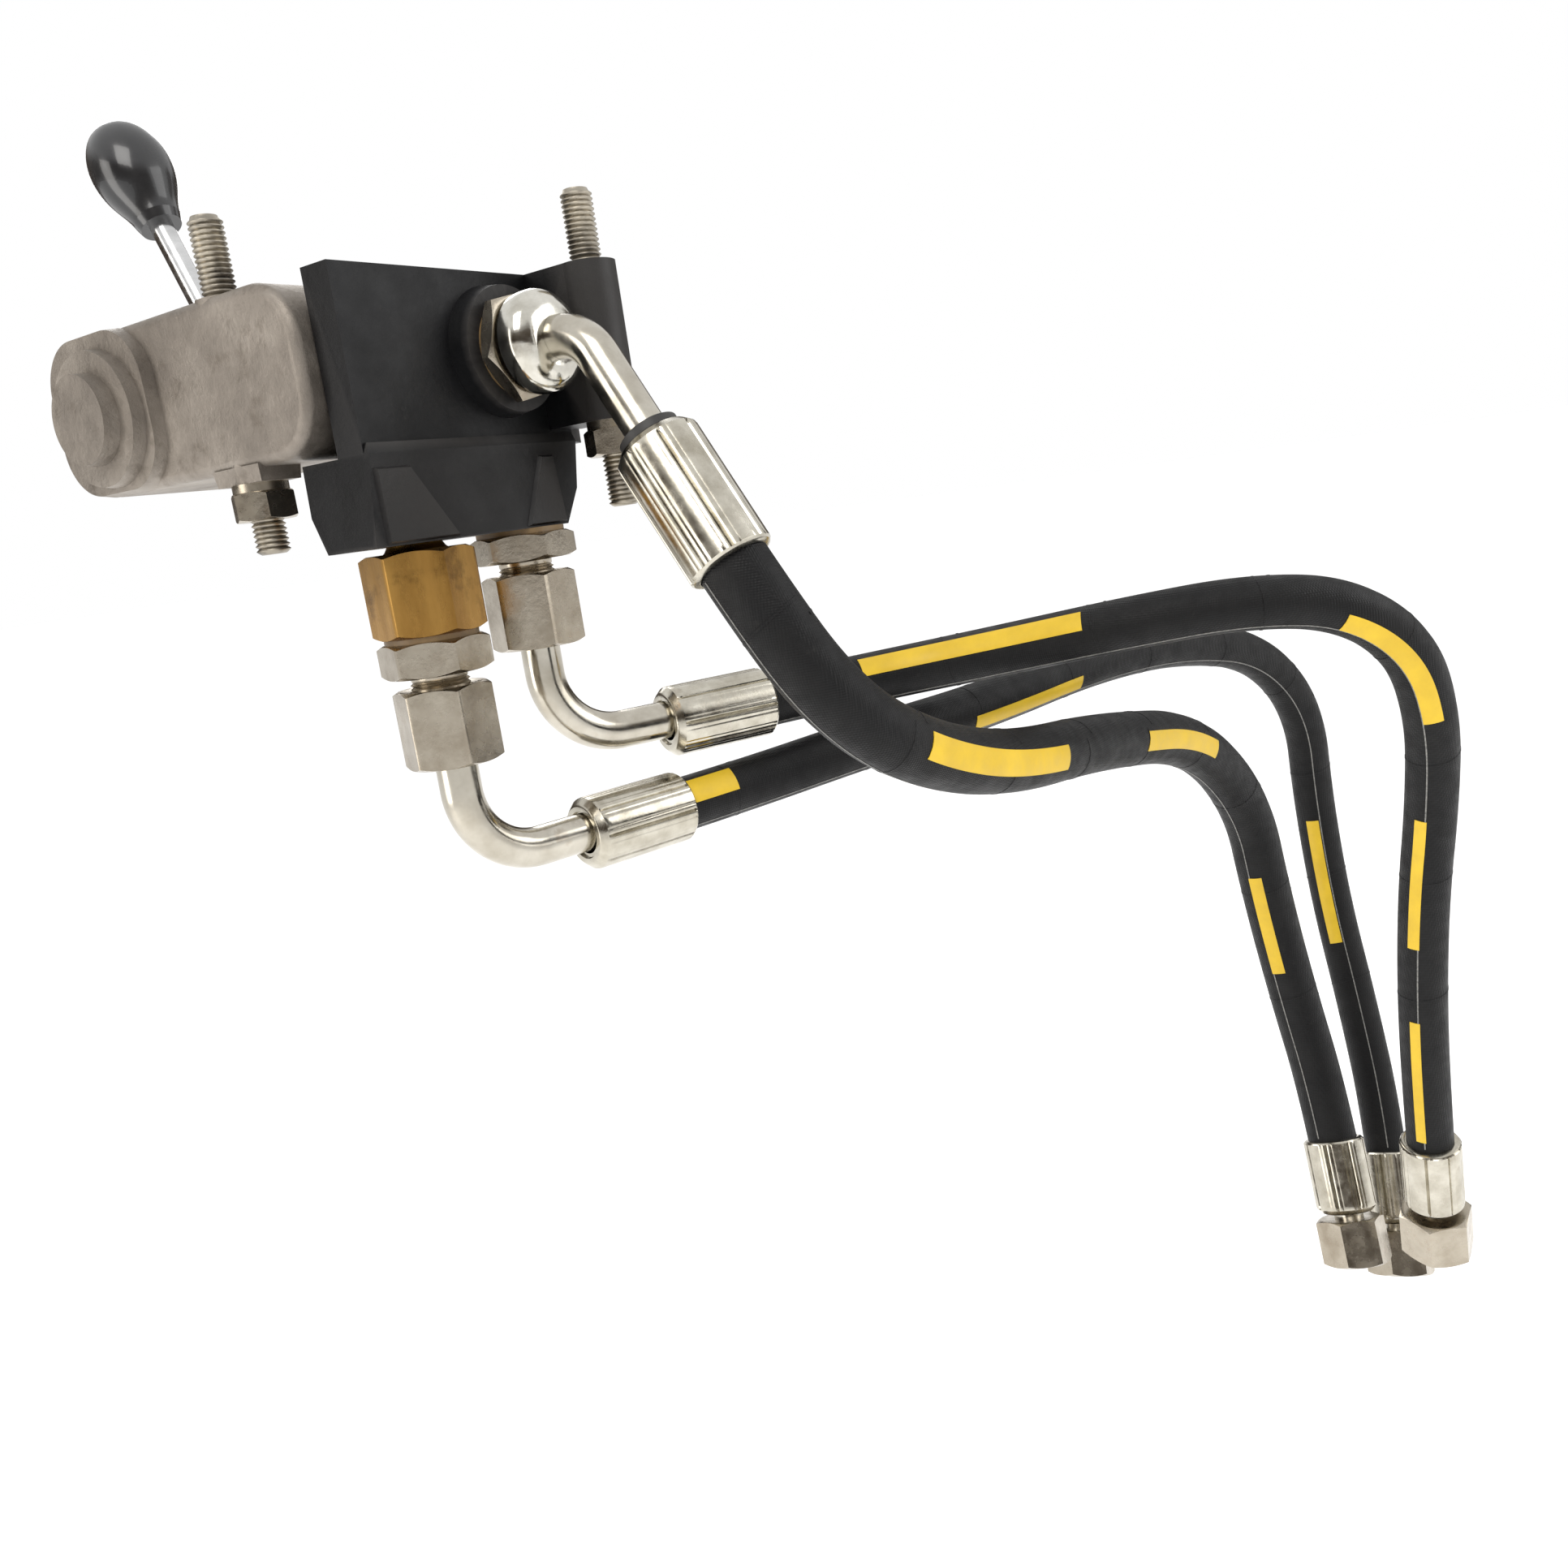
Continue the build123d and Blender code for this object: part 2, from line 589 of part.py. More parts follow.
# ---------------------------------------------------------------- hoses
routes = {
    "front": [(31.5, -19.9, -179.0), (75.8, -32.1, -179.0), (125.0, -65.5, -172.0), (180.9, -86.1, -170.3),
              (247.6, -105.0, -165.5), (306.7, -122.8, -168.1), (357.5, -142.9, -180.6), (388.3, -156.3, -215.0),
              (396.0, -156.2, -264.7), (393.5, -162.3, -317.6), (383.2, -174.1, -367.7), (366.7, -186.1, -418.5),
              (349.3, -192.5, -457.1)],
    "rear": [(72.6, -30.0, -150.0), (106.6, -46.9, -150.0), (140.4, -70.6, -149.2), (153.1, -110.4, -145.0),
             (160.4, -154.6, -139.6), (177.7, -190.9, -137.1), (199.3, -218.3, -142.5), (219.2, -235.9, -162.0),
             (233.4, -239.9, -191.7), (246.6, -235.8, -227.6), (257.4, -229.5, -267.1), (266.1, -225.5, -311.9),
             (275.4, -223.5, -359.4), (285.0, -222.7, -409.7)],
    "side": [(16.0, -80.3, -76.0), (16.0, -98.3, -107.1), (27.4, -111.9, -139.3), (53.3, -121.0, -160.8),
             (104.4, -127.1, -177.8), (185.2, -130.0, -186.8), (268.5, -137.4, -202.9), (314.5, -146.2, -243.7),
             (322.8, -149.9, -291.2), (328.1, -157.2, -341.4), (326.3, -168.7, -391.5), (313.7, -178.1, -434.4)],
}
for (tag, p, d, ro, rh, ln) in ferrules:
    pts = [Vector(*q) for q in routes[tag]]
    pts[0] = p + d * (ln - 24)
    pts[1] = p + d * (ln + (14 if tag == "rear" else 22 if tag == "front" else 12))
    radii = []
    for i in range(1, len(pts) - 1):
        a, b = pts[i] - pts[i - 1], pts[i + 1] - pts[i]
        turn = a.get_angle(b)
        radii.append(0.45 * min(a.length, b.length) / math.tan(math.radians(turn / 2)))
    print(tag, "hose bend radii", [round(r, 1) for r in radii])
    with BuildPart() as hose:
        with BuildLine() as path:
            FilletPolyline(*pts, radius=radii)
        with BuildSketch(Plane(origin=pts[0], z_dir=pts[1] - pts[0])):
            Circle(rh)
        sweep()
    length = path.wires()[0].length if path.wires() else sum(e.length for e in path.edges())
    print(tag, "hose length", round(length, 1), "volume ratio", round(hose.part.volume / (math.pi * rh ** 2 * length), 4))
    write(hose, tag + "_hose")
    # far end: ferrule, straight nipple and swivel nut
    e, u = pts[-1], (pts[-1] - pts[-2]).normalized()
    with BuildPart() as far_ferrule:
        with BuildSketch(Plane(origin=e - u * 24, z_dir=u)):
            Circle(ro)
            Circle(rh, mode=Mode.SUBTRACT)
        extrude(amount=24)
        with BuildSketch(Plane(origin=e, z_dir=u)):
            Circle(ro)
            Circle(tube_r, mode=Mode.SUBTRACT)
        extrude(amount=10)
        chamfer(far_ferrule.faces().sort_by(Axis(e - u * 60, u))[-1].outer_wire().edges(), 2.0)
    write(far_ferrule, tag + "_far_ferrule")
    with BuildPart() as far_nipple:
        with BuildSketch(Plane(origin=e, z_dir=u)):
            Circle(tube_r)
            Circle(4.6, mode=Mode.SUBTRACT)
        extrude(amount=24)
        with BuildSketch(Plane(origin=e + u * 20, z_dir=u)):
            Circle(8.6)
            Circle(4.6, mode=Mode.SUBTRACT)
        extrude(amount=4)
    write(far_nipple, tag + "_far_nipple")
    with BuildPart() as far_nut:
        with BuildSketch(Plane(origin=e + u * 13, z_dir=u)):
            RegularPolygon(radius=nut_af / 2, side_count=6, major_radius=False)
            Circle(tube_r + fit, mode=Mode.SUBTRACT)
        extrude(amount=6.8)
        with BuildSketch(Plane(origin=e + u * 19.8, z_dir=u)):
            RegularPolygon(radius=nut_af / 2, side_count=6, major_radius=False)
            Circle(8.6 + fit, mode=Mode.SUBTRACT)
        extrude(amount=14)
    write(far_nut, tag + "_far_nut")
    print(tag, "far end", tuple(round(v, 2) for v in e), tuple(round(v, 4) for v in u))
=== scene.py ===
import bpy, bmesh, math
from mathutils import Vector, Matrix


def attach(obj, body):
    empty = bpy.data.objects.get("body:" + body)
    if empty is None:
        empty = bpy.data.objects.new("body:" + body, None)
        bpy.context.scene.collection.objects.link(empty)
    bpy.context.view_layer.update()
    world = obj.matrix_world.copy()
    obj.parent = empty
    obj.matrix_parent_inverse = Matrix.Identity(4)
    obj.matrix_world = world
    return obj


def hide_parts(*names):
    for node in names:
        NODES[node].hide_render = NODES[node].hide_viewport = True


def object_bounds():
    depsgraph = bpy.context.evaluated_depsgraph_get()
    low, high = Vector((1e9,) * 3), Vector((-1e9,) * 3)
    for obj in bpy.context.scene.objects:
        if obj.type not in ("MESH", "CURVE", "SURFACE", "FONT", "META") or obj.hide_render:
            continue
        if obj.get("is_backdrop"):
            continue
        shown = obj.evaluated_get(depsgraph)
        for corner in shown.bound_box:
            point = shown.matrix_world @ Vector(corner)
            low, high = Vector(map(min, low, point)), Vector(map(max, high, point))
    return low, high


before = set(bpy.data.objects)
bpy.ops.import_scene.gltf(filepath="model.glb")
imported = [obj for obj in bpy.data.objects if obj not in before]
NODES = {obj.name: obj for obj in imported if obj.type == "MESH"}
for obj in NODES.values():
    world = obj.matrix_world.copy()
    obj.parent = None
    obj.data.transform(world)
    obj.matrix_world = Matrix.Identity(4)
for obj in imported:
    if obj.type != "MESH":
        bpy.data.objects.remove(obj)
CAD_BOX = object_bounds()
ROOT = "valve_block"
V = Vector
MM = 0.001


def mm(*a):
    return Vector(a) * MM


# ------------------------------------------------------------------ materials
def new_mat(name):
    m = bpy.data.materials.new(name)
    m.use_nodes = True
    nt = m.node_tree
    for n in list(nt.nodes):
        nt.nodes.remove(n)
    out = nt.nodes.new("ShaderNodeOutputMaterial")
    bs = nt.nodes.new("ShaderNodeBsdfPrincipled")
    nt.links.new(bs.outputs[0], out.inputs[0])
    tc = nt.nodes.new("ShaderNodeTexCoord")
    return m, nt, bs, tc.outputs["Object"]


def noise(nt, vec, scale, detail=4.0, rough=0.55, stretch=None):
    if stretch:
        mp = nt.nodes.new("ShaderNodeMapping")
        mp.inputs["Scale"].default_value = stretch
        nt.links.new(vec, mp.inputs[0])
        vec = mp.outputs[0]
    n = nt.nodes.new("ShaderNodeTexNoise")
    n.inputs["Scale"].default_value = scale
    n.inputs["Detail"].default_value = detail
    n.inputs["Roughness"].default_value = rough
    nt.links.new(vec, n.inputs["Vector"])
    return n.outputs["Fac"]


def ramp(nt, fac, stops):
    r = nt.nodes.new("ShaderNodeValToRGB")
    els = r.color_ramp.elements
    while len(els) > len(stops):
        els.remove(els[-1])
    while len(els) < len(stops):
        els.new(1.0)
    for e, (p, c) in zip(els, stops):
        e.position = p
        e.color = (*c, 1.0) if len(c) == 3 else c
    nt.links.new(fac, r.inputs[0])
    return r.outputs[0]


def maprange(nt, fac, a, b, lo, hi):
    m = nt.nodes.new("ShaderNodeMapRange")
    m.inputs[1].default_value, m.inputs[2].default_value = a, b
    m.inputs[3].default_value, m.inputs[4].default_value = lo, hi
    nt.links.new(fac, m.inputs[0])
    return m.outputs[0]


def bump(nt, bs, height, dist, strength=1.0, prev=None):
    b = nt.nodes.new("ShaderNodeBump")
    b.inputs["Strength"].default_value = strength
    b.inputs["Distance"].default_value = dist
    nt.links.new(height, b.inputs["Height"])
    if prev is not None:
        nt.links.new(prev, b.inputs["Normal"])
    nt.links.new(b.outputs[0], bs.inputs["Normal"])
    return b.outputs[0]


def mixc(nt, fac, a, b, mode="MIX"):
    m = nt.nodes.new("ShaderNodeMix")
    m.data_type = "RGBA"
    m.blend_type = mode
    if isinstance(fac, float):
        m.inputs[0].default_value = fac
    else:
        nt.links.new(fac, m.inputs[0])
    for k, v in ((6, a), (7, b)):
        if isinstance(v, tuple):
            m.inputs[k].default_value = (*v, 1.0)
        else:
            nt.links.new(v, m.inputs[k])
    return m.outputs[2]


def metal(name, light, dark, rough=(0.22, 0.42), stain=(0.35, 0.25, 0.16), stain_at=(0.60, 0.75),
          scale=160.0, bumpd=0.00004, metallic=1.0, stretch=None, stain_scale=60.0):
    m, nt, bs, co = new_mat(name)
    a = noise(nt, co, scale, 6.0, 0.6, stretch)
    c = ramp(nt, a, [(0.3, dark), (0.72, light)])
    s = noise(nt, co, stain_scale, 5.0, 0.65)
    sf = ramp(nt, s, [(stain_at[0], (0, 0, 0)), (stain_at[1], (1, 1, 1))])
    col = mixc(nt, sf, c, stain)
    nt.links.new(col, bs.inputs["Base Color"])
    bs.inputs["Metallic"].default_value = metallic
    r = maprange(nt, noise(nt, co, scale * 2.2, 4.0, 0.6, stretch), 0.3, 0.7, rough[0], rough[1])
    nt.links.new(r, bs.inputs["Roughness"])
    bump(nt, bs, noise(nt, co, scale * 9, 3.0, 0.6, stretch), bumpd, 0.6)
    return m


M = {}
M["zinc"] = metal("zinc_plated_steel", (0.52, 0.475, 0.395), (0.30, 0.255, 0.195), (0.18, 0.34), (0.24, 0.165, 0.10), (0.58, 0.86), 60.0, 0.00006)
M["yellow"] = metal("yellow_zinc", (0.54, 0.31, 0.085), (0.26, 0.13, 0.03), (0.20, 0.40), (0.07, 0.035, 0.012), (0.54, 0.78), 60.0, 0.00008, stretch=(1.0, 1.0, 0.25))
M["tube"] = metal("bright_tube", (0.60, 0.57, 0.50), (0.38, 0.345, 0.28), (0.12, 0.28), (0.26, 0.185, 0.11), (0.62, 0.84), 60.0, 0.00003)
M["ferrule"] = metal("crimped_ferrule", (0.64, 0.61, 0.53), (0.36, 0.33, 0.265), (0.13, 0.30), (0.22, 0.175, 0.115), (0.62, 0.86), 90.0, 0.00004)
M["bright"] = metal("bright_nut", (0.74, 0.72, 0.66), (0.44, 0.42, 0.36), (0.07, 0.20), (0.24, 0.19, 0.13), (0.62, 0.84), 80.0, 0.00004)
M["ground"] = metal("ground_steel", (0.72, 0.72, 0.72), (0.50, 0.50, 0.50), (0.12, 0.24), (0.4, 0.38, 0.35), (0.7, 0.9), 180.0, 0.00002, stretch=(0.2, 1, 1))
M["dark"] = metal("black_oxide_steel", (0.16, 0.155, 0.15), (0.07, 0.07, 0.07), (0.30, 0.5), (0.30, 0.24, 0.18), (0.62, 0.8), 140.0, 0.00005)
M["stud"] = metal("plated_thread", (0.52, 0.47, 0.38), (0.22, 0.20, 0.17), (0.28, 0.5), (0.10, 0.09, 0.08), (0.52, 0.7), 120.0, 0.00005)
M["bronze"] = metal("bronze", (0.70, 0.47, 0.22), (0.45, 0.28, 0.12), (0.25, 0.4), (0.2, 0.13, 0.07), (0.65, 0.8), 130.0, 0.00004)


def painted():
    m, nt, bs, co = new_mat("black_cast_paint")
    a = noise(nt, co, 45.0, 6.0, 0.6)
    c = ramp(nt, a, [(0.3, (0.0025, 0.0026, 0.003)), (0.75, (0.0065, 0.0065, 0.0074))])
    dust = ramp(nt, noise(nt, co, 240.0, 5.0, 0.7), [(0.62, (0, 0, 0)), (0.80, (0.35, 0.35, 0.35))])
    geo = nt.nodes.new("ShaderNodeNewGeometry")
    edge = ramp(nt, geo.outputs["Pointiness"], [(0.54, (0, 0, 0)), (0.60, (1, 1, 1))])
    c2 = mixc(nt, dust, c, (0.030, 0.027, 0.024))
    c3 = mixc(nt, edge, c2, (0.030, 0.028, 0.027))
    nt.links.new(c3, bs.inputs["Base Color"])
    r = maprange(nt, noise(nt, co, 70.0, 5.0), 0.3, 0.7, 0.38, 0.56)
    bs.inputs["Specular IOR Level"].default_value = 0.24
    nt.links.new(r, bs.inputs["Roughness"])
    b1 = bump(nt, bs, noise(nt, co, 420.0, 5.0, 0.6), 0.00022, 0.55)
    bump(nt, bs, noise(nt, co, 60.0, 3.0), 0.0007, 0.35, b1)
    return m


def cast():
    m, nt, bs, co = new_mat("sand_cast_aluminium")
    a = noise(nt, co, 28.0, 8.0, 0.62)
    c = ramp(nt, a, [(0.28, (0.14, 0.122, 0.104)), (0.5, (0.24, 0.212, 0.182)), (0.75, (0.38, 0.342, 0.298))])
    dirt = ramp(nt, noise(nt, co, 90.0, 6.0, 0.7), [(0.55, (0, 0, 0)), (0.75, (0.7, 0.7, 0.7))])
    c2 = mixc(nt, dirt, c, (0.12, 0.098, 0.075))
    nt.links.new(c2, bs.inputs["Base Color"])
    bs.inputs["Metallic"].default_value = 0.75
    r = maprange(nt, noise(nt, co, 130.0, 5.0), 0.3, 0.7, 0.42, 0.62)
    nt.links.new(r, bs.inputs["Roughness"])
    b1 = bump(nt, bs, noise(nt, co, 520.0, 6.0, 0.7), 0.00035, 0.6)
    bump(nt, bs, noise(nt, co, 120.0, 4.0, 0.6), 0.0008, 0.35, b1)
    return m


def rubber():
    m, nt, bs, co = new_mat("hose_cover")
    a = noise(nt, co, 35.0, 6.0, 0.6)
    c = ramp(nt, a, [(0.3, (0.0028, 0.0028, 0.0033)), (0.75, (0.0085, 0.0082, 0.008))])
    scuff = ramp(nt, noise(nt, co, 110.0, 6.0, 0.75), [(0.62, (0, 0, 0)), (0.80, (0.5, 0.5, 0.5))])
    c2 = mixc(nt, scuff, c, (0.036, 0.034, 0.031))
    nt.links.new(c2, bs.inputs["Base Color"])
    r = maprange(nt, noise(nt, co, 160.0, 4.0), 0.3, 0.7, 0.42, 0.62)
    bs.inputs["Specular IOR Level"].default_value = 0.22
    nt.links.new(r, bs.inputs["Roughness"])
    # cloth-wrapped finish: two crossed fine ribs
    hs = []
    for d in ("X", "Y", "Z"):
        w = nt.nodes.new("ShaderNodeTexWave")
        w.bands_direction = d
        w.inputs["Scale"].default_value = 420.0
        w.inputs["Distortion"].default_value = 0.6
        w.inputs["Detail"].default_value = 1.0
        nt.links.new(co, w.inputs["Vector"])
        hs.append(w.outputs["Fac"])
    ad = nt.nodes.new("ShaderNodeMath"); ad.operation = "ADD"
    nt.links.new(hs[0], ad.inputs[0]); nt.links.new(hs[1], ad.inputs[1])
    ad2 = nt.nodes.new("ShaderNodeMath"); ad2.operation = "ADD"
    nt.links.new(ad.outputs[0], ad2.inputs[0]); nt.links.new(hs[2], ad2.inputs[1])
    b1 = bump(nt, bs, ad2.outputs[0], 0.00010, 0.5)
    bump(nt, bs, noise(nt, co, 40.0, 4.0), 0.0006, 0.3, b1)
    return m


def plain(name, c0, c1, rough, scale=60.0, bumpd=0.00008, bs_scale=600.0, coat=0.0):
    m, nt, bs, co = new_mat(name)
    c = ramp(nt, noise(nt, co, scale, 6.0, 0.6), [(0.3, c0), (0.75, c1)])
    nt.links.new(c, bs.inputs["Base Color"])
    r = maprange(nt, noise(nt, co, scale * 2, 4.0), 0.3, 0.7, rough[0], rough[1])
    nt.links.new(r, bs.inputs["Roughness"])
    bs.inputs["Coat Weight"].default_value = coat
    bump(nt, bs, noise(nt, co, bs_scale, 3.0), bumpd, 0.5)
    return m


M["paint"] = painted()
M["cast"] = cast()
M["rubber"] = rubber()
M["bar"] = plain("hose_bar_yellow", (0.62, 0.40, 0.012), (0.78, 0.52, 0.02), (0.38, 0.55), 80.0)
M["line"] = plain("hose_mould_line", (0.10, 0.10, 0.095), (0.30, 0.29, 0.27), (0.5, 0.7), 900.0)
M["seal"] = plain("seal_dark", (0.10, 0.065, 0.03), (0.24, 0.15, 0.06), (0.35, 0.55), 90.0)
M["plastic"] = plain("knob_plastic", (0.012, 0.012, 0.013), (0.022, 0.022, 0.023), (0.18, 0.30), 40.0, 0.00003, 300.0, 0.4)
# near-black material for a ring of painted shade at the side ferrule's front face, not a real part
M["sleeve"] = plain("painted_shade_ring", (0.012, 0.012, 0.012), (0.03, 0.028, 0.026), (0.4, 0.6))

CAD_MAT = {
    "valve_body": "paint", "lever_housing": "cast", "back_plate": "cast", "plate_screws": "dark",
    "metering_spool": "ground", "compensator_spool": "ground", "control_shaft": "ground", "lever_arm": "ground",
    "outer_bush": "bronze", "inner_bush": "bronze", "restrictor_poppet": "dark", "restrictor_spring": "dark",
    "compensator_spring": "dark", "drive_crank": "dark", "spool_crank": "dark", "drag_link": "dark",
    "drive_crank_pin": "ground", "spool_crank_pin": "ground", "lever_hub": "dark", "lever_knob": "plastic",
    "front_bonded_seal": "seal", "rear_bonded_seal": "seal", "side_bonded_seal": "seal",
    "front_elbow_tube": "tube", "rear_elbow_tube": "tube", "side_elbow_tube": "tube",
    "front_far_nipple": "tube", "rear_far_nipple": "tube", "side_far_nipple": "tube", "compensator_plug": "zinc",
}
for n, k in CAD_MAT.items():
    o = NODES[n]
    if not o.material_slots:
        o.data.materials.append(M[k])
    for sl in o.material_slots:
        sl.material = M[k]


# ------------------------------------------------------------------ mesh helpers
def add_mesh(name, verts, faces, mat, body=ROOT, sharp=35.0, smooth=True):
    me = bpy.data.meshes.new(name)
    me.from_pydata([tuple(v) for v in verts], [], faces)
    bm = bmesh.new()
    bm.from_mesh(me)
    bmesh.ops.remove_doubles(bm, verts=bm.verts, dist=1e-7)
    bmesh.ops.recalc_face_normals(bm, faces=bm.faces)
    for f in bm.faces:
        f.smooth = smooth
    lim = math.radians(sharp)
    for e in bm.edges:
        if len(e.link_faces) == 2 and e.calc_face_angle(0.0) > lim:
            e.smooth = False
    bm.to_mesh(me)
    bm.free()
    me.materials.append(mat)
    o = bpy.data.objects.new(name, me)
    bpy.context.scene.collection.objects.link(o)
    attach(o, body)
    return o


def basis(axis, ref=None):
    a = Vector(axis).normalized()
    r = Vector(ref) if ref else (Vector((1, 0, 0)) if abs(a.x) < 0.9 else Vector((0, 1, 0)))
    u = (r - a * r.dot(a)).normalized()
    return a, u, a.cross(u)


def hexr(t, af, rot):
    k = ((math.degrees(t) - rot) % 60.0) - 30.0
    return af / 2 / math.cos(math.radians(k))


def turned(name, origin, axis, profile, mat, body=ROOT, n=96, rot=0.0, ref=None, sharp=35.0, mod=None, closed=True):
    """A turned piece: profile is a closed list of (z, r) or (z, r, hexagon across flats, chamfer sign) in mm along axis."""
    a, u, w = basis(axis, ref)
    O = Vector(origin)
    verts, faces = [], []
    for i in range(n):
        t = 2 * math.pi * i / n
        d = u * math.cos(t) + w * math.sin(t)
        for p in profile:
            z, r = p[0], p[1]
            if len(p) > 2:
                af, sg = p[2], p[3]
                rh = hexr(t, af, rot)
                rim = af / 2 * 0.985
                z = z - sg * max(0.0, rh - rim) * 0.52
                r = rh
            if mod:
                r = mod(z, r, t, p)
            verts.append(O * MM + (d * r + a * z) * MM)
    m = len(profile)
    for i in range(n):
        j = (i + 1) % n
        for k in range(m if closed else m - 1):
            l = (k + 1) % m
            faces.append((i * m + k, j * m + k, j * m + l, i * m + l))
    return add_mesh(name, verts, faces, mat, body, sharp)


def hexpiece(z0, z1, af, bore0, bore1=None, rim=None):
    """closed profile of a hexagon from z0 up to z1 with turned chamfers at both ends"""
    r = af / 2 * 0.985
    b1 = bore1 if bore1 is not None else bore0
    return [(z0, bore0), (z0, r - 0.7), (z0, r), (z0, 0, af, -1), (z1, 0, af, 1), (z1, r), (z1, r - 0.7), (z1, b1)]


def thread(z0, z1, r, pitch=1.5, depth=0.8):
    out = []
    z = z0
    while z + pitch <= z1 + 1e-6:
        out += [(z, r - depth), (z + pitch * 0.44, r), (z + pitch * 0.56, r)]
        z += pitch
    out.append((min(z, z1), r - depth))
    return out


# ------------------------------------------------------------------ hoses
ROUTES = {
    "front": [(31.5, -19.9, -179.0), (75.8, -32.1, -179.0), (125.0, -65.5, -172.0), (180.9, -86.1, -170.3),
              (247.6, -105.0, -165.5), (306.7, -122.8, -168.1), (357.5, -142.9, -180.6), (388.3, -156.3, -215.0),
              (396.0, -156.2, -264.7), (393.5, -162.3, -317.6), (383.2, -174.1, -367.7), (366.7, -186.1, -418.5),
              (349.3, -192.5, -457.1)],
    "rear": [(72.6, -30.0, -150.0), (106.6, -46.9, -150.0), (140.4, -70.6, -149.2), (153.1, -110.4, -145.0),
             (160.4, -154.6, -139.6), (177.7, -190.9, -137.1), (199.3, -218.3, -142.5), (219.2, -235.9, -162.0),
             (233.4, -239.9, -191.7), (246.6, -235.8, -227.6), (257.4, -229.5, -267.1), (266.1, -225.5, -311.9),
             (275.4, -223.5, -359.4), (285.0, -222.7, -409.7)],
    "side": [(16.0, -80.3, -76.0), (16.0, -98.3, -107.1), (27.4, -111.9, -139.3), (53.3, -121.0, -160.8),
             (104.4, -127.1, -177.8), (185.2, -130.0, -186.8), (268.5, -137.4, -202.9), (314.5, -146.2, -243.7),
             (322.8, -149.9, -291.2), (328.1, -157.2, -341.4), (326.3, -168.7, -391.5), (313.7, -178.1, -434.4)],
}
HOSE_R = {"front": 9.5, "rear": 9.5, "side": 11.0}
FER_R = {"front": 12.25, "rear": 12.25, "side": 13.5}
FER_L = {"front": 40.0, "rear": 40.0, "side": 44.0}


def unit(a):
    return Vector((math.cos(math.radians(a)), math.sin(math.radians(a)), 0))


SD = Vector((0, -0.5, -0.8660254))
FER_P = {"front": Vector((-22.5, -5, -179.0)) + unit(-15.4) * 40, "rear": Vector((22.5, -5, -150.0)) + unit(-26.5) * 40,
         "side": Vector((16, -50.3, -24)) + SD * 40}
FER_D = {"front": unit(-15.4), "rear": unit(-26.5), "side": SD}
EXTRA = {"front": 22, "rear": 14, "side": 12}
CAM = Vector((-310.71, -327.38, -81.83))
END = {}
hose_obj, centre = {}, {}
for tag, pts in ROUTES.items():
    pts = [Vector(p) for p in pts]
    pts[0] = FER_P[tag] + FER_D[tag] * (FER_L[tag] - 24)
    pts[1] = FER_P[tag] + FER_D[tag] * (FER_L[tag] + EXTRA[tag])
    END[tag] = (pts[-1], (pts[-1] - pts[-2]).normalized())
    cu = bpy.data.curves.new(tag + "_hose_cover", "CURVE")
    cu.dimensions = "3D"
    sp = cu.splines.new("NURBS")
    sp.points.add(len(pts) - 1)
    for q, p in zip(sp.points, pts):
        q.co = (*(p * MM), 1.0)
    sp.order_u = 3
    sp.use_endpoint_u = True
    sp.resolution_u = 24
    tmp = bpy.data.objects.new("tmp", cu)
    bpy.context.scene.collection.objects.link(tmp)
    bpy.context.view_layer.update()
    me = bpy.data.meshes.new_from_object(tmp.evaluated_get(bpy.context.evaluated_depsgraph_get()))
    centre[tag] = [v.co.copy() for v in me.vertices]
    bpy.data.meshes.remove(me)
    bpy.data.objects.remove(tmp)
    cu.bevel_depth = HOSE_R[tag] * MM
    cu.bevel_resolution = 10
    cu.use_fill_caps = True
    cu.materials.append(M["rubber"])
    o = bpy.data.objects.new(tag + "_hose_cover", cu)
    bpy.context.scene.collection.objects.link(o)
    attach(o, ROOT)
    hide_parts(tag + "_hose")
    hose_obj[tag] = o


def frames(path):
    out = []
    t = (path[1] - path[0]).normalized()
    n = (Vector((0, 0, 1)) - t * t.z).normalized()
    s = 0.0
    for i, p in enumerate(path):
        if i:
            s += (p - path[i - 1]).length
        t2 = (path[min(i + 1, len(path) - 1)] - path[max(i - 1, 0)]).normalized()
        n = (n - t2 * n.dot(t2)).normalized()
        out.append((s, p, t2, n, t2.cross(n)))
    return out


FR = {k: frames(v) for k, v in centre.items()}


def at(tag, s):
    fr = FR[tag]
    for a, b in zip(fr, fr[1:]):
        if a[0] <= s <= b[0] + 1e-9:
            f = (s - a[0]) / max(b[0] - a[0], 1e-9)
            return [a[k].lerp(b[k], f) for k in (1, 2, 3, 4)]
    return list(fr[-1][1:])


